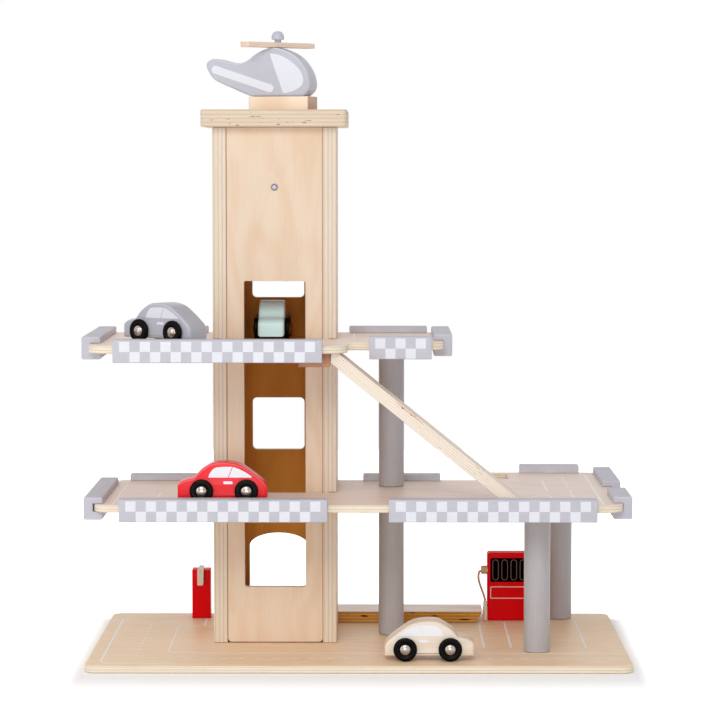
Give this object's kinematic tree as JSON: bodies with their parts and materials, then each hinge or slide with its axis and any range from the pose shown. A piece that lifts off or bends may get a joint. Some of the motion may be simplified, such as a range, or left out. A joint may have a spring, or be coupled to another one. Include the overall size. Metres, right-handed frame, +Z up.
{
  "type": "toy parking garage with lift",
  "caption": "Wooden toy garage: two railed decks round a lift tower with a hand crank, ramps, barrier, pump, helipad with helicopter, and little cars.",
  "frame": {"origin": "centre of the base board's underside", "axes": "+X to the right as seen from the front, +Y to the back, +Z up"},
  "size_m": [0.5825, 0.3345, 0.6753],
  "materials": {
    "birch": "clear-lacquered birch plywood and beech",
    "grey_paint": "satin pale lilac-grey paint",
    "column_grey_paint": "satin mid-grey paint",
    "red_paint": "gloss red paint",
    "mint_paint": "satin pale mint paint",
    "car_grey_paint": "satin pale grey paint",
    "stained_wood": "plain brown wood",
    "black_wheel": "black painted wheels with brown domed hubs",
    "steel": "zinc-plated steel",
    "cord": "braided cotton cord"
  },
  "bodies": {
    "garage": {"base_board": "birch", "tower_left_panel": "birch", "tower_right_panel": "birch", "tower_front_panel": "birch", "tower_back_panel": "birch", "tower_roof": "birch", "lower_deck": "birch", "upper_deck": "birch", "lower_front_left_rail": "grey_paint", "lower_front_right_rail": "grey_paint", "lower_left_end_rail": "grey_paint", "lower_right_end_rail_front": "grey_paint", "lower_right_end_rail_back": "grey_paint", "lower_back_left_rail": "grey_paint", "lower_back_middle_rail": "grey_paint", "lower_back_right_rail": "grey_paint", "upper_front_left_rail": "grey_paint", "upper_front_right_rail": "grey_paint", "upper_left_end_rail": "grey_paint", "upper_right_end_rail": "grey_paint", "upper_back_left_rail": "grey_paint", "upper_back_right_rail": "grey_paint", "middle_column_lower": "column_grey_paint", "middle_column_upper": "column_grey_paint", "front_right_column": "column_grey_paint", "back_right_column": "column_grey_paint", "upper_ramp": "birch", "ramp_rest_block": "stained_wood", "fuel_pump_body": "red_paint", "pump_hose_peg": "birch", "pump_hose": "cord", "pump_nozzle": "birch", "barrier_post": "red_paint", "barrier_pivot_pin": "steel", "lift_cord": "cord", "helicopter_stand": "birch"},
    "lift": {"lift_floor": "birch", "lift_left_side": "birch", "lift_right_side": "birch", "lift_top": "birch"},
    "crank": {"lift_axle": "birch", "crank_handle": "red_paint", "axle_screw": "steel"},
    "barrier": {"barrier_arm": "birch"},
    "loose_ramp": {"ground_ramp": "birch"},
    "helicopter": {"helicopter_body": "grey_paint", "rotor_peg": "grey_paint"},
    "rotor": {"helicopter_rotor": "birch"},
    "wood_car": {"wood_car_body": "birch"},
    "wood_car_front_wheelset": {"wood_car_front_wheels": "black_wheel"},
    "wood_car_rear_wheelset": {"wood_car_rear_wheels": "black_wheel"},
    "red_car": {"red_car_body": "red_paint"},
    "red_car_front_wheelset": {"red_car_front_wheels": "black_wheel"},
    "red_car_rear_wheelset": {"red_car_rear_wheels": "black_wheel"},
    "grey_car": {"grey_car_body": "car_grey_paint"},
    "grey_car_front_wheelset": {"grey_car_front_wheels": "black_wheel"},
    "grey_car_rear_wheelset": {"grey_car_rear_wheels": "black_wheel"},
    "mint_car": {"mint_car_body": "mint_paint"},
    "mint_car_front_wheelset": {"mint_car_front_wheels": "black_wheel"},
    "mint_car_rear_wheelset": {"mint_car_rear_wheels": "black_wheel"}
  },
  "joints": [
    {"name": "lift_travel", "type": "slide", "parent": "garage", "child": "lift", "axis": [0, 0, 1], "range_m": [-0.3226, 0.0036], "deforming": ["lift_cord"]},
    {"name": "crank_turn", "type": "hinge", "parent": "garage", "child": "crank", "pos_m": [-0.0919, 0.03035, 0.5051], "axis": [0, -1, 0], "range_deg": [-1800, 25]},
    {"name": "barrier_swing", "type": "hinge", "parent": "garage", "child": "barrier", "pos_m": [-0.1829, 0.1375, 0.0588], "axis": [-1, 0, 0], "range_deg": [0, 85]},
    {"name": "loose_ramp_slide", "type": "slide", "parent": "garage", "child": "loose_ramp", "axis": [-1, 0, 0], "range_m": [0, 0.045]},
    {"name": "helicopter_takeoff", "type": "slide", "parent": "garage", "child": "helicopter", "axis": [0, 0, 1], "range_m": [0, 0.06]},
    {"name": "rotor_spin", "type": "hinge", "parent": "helicopter", "child": "rotor", "pos_m": [-0.09001, 0.03197, 0.66], "axis": [0, 0, 1], "continuous": true},
    {"name": "wood_car_roll", "type": "slide", "parent": "garage", "child": "wood_car", "axis": [1, 0, 0], "range_m": [-0.27, 0.15]},
    {"name": "wood_car_rear_wheels_turn", "type": "hinge", "parent": "wood_car", "child": "wood_car_rear_wheelset", "pos_m": [0.0488, -0.123, 0.0208], "axis": [0, 1, 0], "continuous": true},
    {"name": "wood_car_front_wheels_turn", "type": "hinge", "parent": "wood_car", "child": "wood_car_front_wheelset", "pos_m": [0.0962, -0.123, 0.0208], "axis": [0, 1, 0], "continuous": true},
    {"name": "red_car_roll", "type": "slide", "parent": "garage", "child": "red_car", "axis": [-1, 0, 0], "range_m": [-0.18, 0.07]},
    {"name": "red_car_rear_wheels_turn", "type": "hinge", "parent": "red_car", "child": "red_car_rear_wheelset", "pos_m": [-0.1187, -0.107, 0.1864], "axis": [0, -1, 0], "continuous": true},
    {"name": "red_car_front_wheels_turn", "type": "hinge", "parent": "red_car", "child": "red_car_front_wheelset", "pos_m": [-0.1661, -0.107, 0.1864], "axis": [0, -1, 0], "continuous": true},
    {"name": "grey_car_roll", "type": "slide", "parent": "garage", "child": "grey_car", "axis": [-0.7934, 0.6088, 0], "range_m": [0, 0.02]},
    {"name": "grey_car_rear_wheels_turn", "type": "hinge", "parent": "grey_car", "child": "grey_car_rear_wheelset", "pos_m": [-0.18597, -0.10352, 0.3536], "axis": [-0.6088, -0.7934, 0], "continuous": true},
    {"name": "grey_car_front_wheels_turn", "type": "hinge", "parent": "grey_car", "child": "grey_car_front_wheelset", "pos_m": [-0.22357, -0.07467, 0.3536], "axis": [-0.6088, -0.7934, 0], "continuous": true},
    {"name": "mint_car_roll", "type": "slide", "parent": "lift", "child": "mint_car", "axis": [0, -1, 0], "range_m": [0, 0.025]},
    {"name": "mint_car_rear_wheels_turn", "type": "hinge", "parent": "mint_car", "child": "mint_car_rear_wheelset", "pos_m": [-0.0965, 0.05725, 0.35], "axis": [1, 0, 0], "continuous": true},
    {"name": "mint_car_front_wheels_turn", "type": "hinge", "parent": "mint_car", "child": "mint_car_front_wheelset", "pos_m": [-0.0965, 0.00985, 0.35], "axis": [1, 0, 0], "continuous": true}
  ],
  "couplings": [
    {"joint": "crank_turn", "follows": "lift_travel", "rad_per_m": 97.087}
  ]
}
